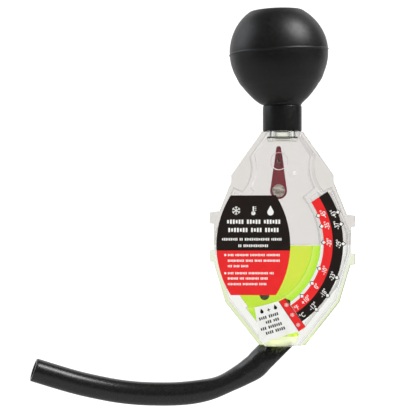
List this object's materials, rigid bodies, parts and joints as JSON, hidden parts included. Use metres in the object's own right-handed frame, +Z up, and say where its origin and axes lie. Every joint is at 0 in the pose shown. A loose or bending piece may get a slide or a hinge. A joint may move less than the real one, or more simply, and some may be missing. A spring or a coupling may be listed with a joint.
{
  "type": "coolant tester",
  "caption": "Hand-held coolant tester: rubber squeeze bulb on a clear flat case with a float pointer, curved scale, plumb and dip hose.",
  "frame": {"origin": "middle of the squeeze bulb on the tester's upright axis, where the hand holds it", "axes": "+Z up along the tester, +X to the right of the front face, +Y away from the front face"},
  "size_m": [0.1625, 0.0502, 0.1989],
  "materials": {
    "bulb_rubber": "satin",
    "hose_rubber": "satin",
    "seal_rubber": "matte",
    "pale_rubber": "matte",
    "clear_plastic": "clear gloss",
    "maroon_plastic": "satin",
    "grey_metal": "dull",
    "pin_steel": "bright",
    "black_film": "printed",
    "red_film": "printed",
    "white_film": "printed",
    "coolant": "clear liquid"
  },
  "bodies": {
    "case": {"front_shell": "clear_plastic", "rear_shell": "clear_plastic", "neck_spigot": "clear_plastic", "neck_seal": "seal_rubber", "hose_nipple": "clear_plastic", "nipple_seal": "pale_rubber", "hose": "hose_rubber", "pointer_pin": "pin_steel", "plumb_pin": "pin_steel", "label_black": "black_film", "label_red": "red_film", "fahrenheit_band": "red_film", "celsius_band": "black_film", "scale_marks": "white_film", "mix_label": "white_film", "mix_strip": "red_film", "coolant_sample": "coolant"},
    "bulb": {"squeeze_bulb": "bulb_rubber"},
    "pointer": {"pointer_arm": "maroon_plastic", "pointer_ballast": "grey_metal"},
    "plumb": {"plumb_bob": "maroon_plastic", "plumb_slug": "grey_metal"}
  },
  "joints": [
    {"name": "bulb_squeeze", "type": "slide", "parent": "case", "child": "bulb", "axis": [0, 0, -1], "range_m": [0, 0.014], "stiffness_N_per_m": 300, "springref_m": -0.002, "deforming": ["squeeze_bulb"]},
    {"name": "pointer_swing", "type": "hinge", "parent": "case", "child": "pointer", "pos_m": [-0.017, -0.0035, -0.09556], "axis": [0, -1, 0], "range_deg": [0, 118]},
    {"name": "plumb_swing", "type": "hinge", "parent": "case", "child": "plumb", "pos_m": [-0.0018, 0.002, -0.05456], "axis": [0, -1, 0], "range_deg": [-27, 27]}
  ]
}
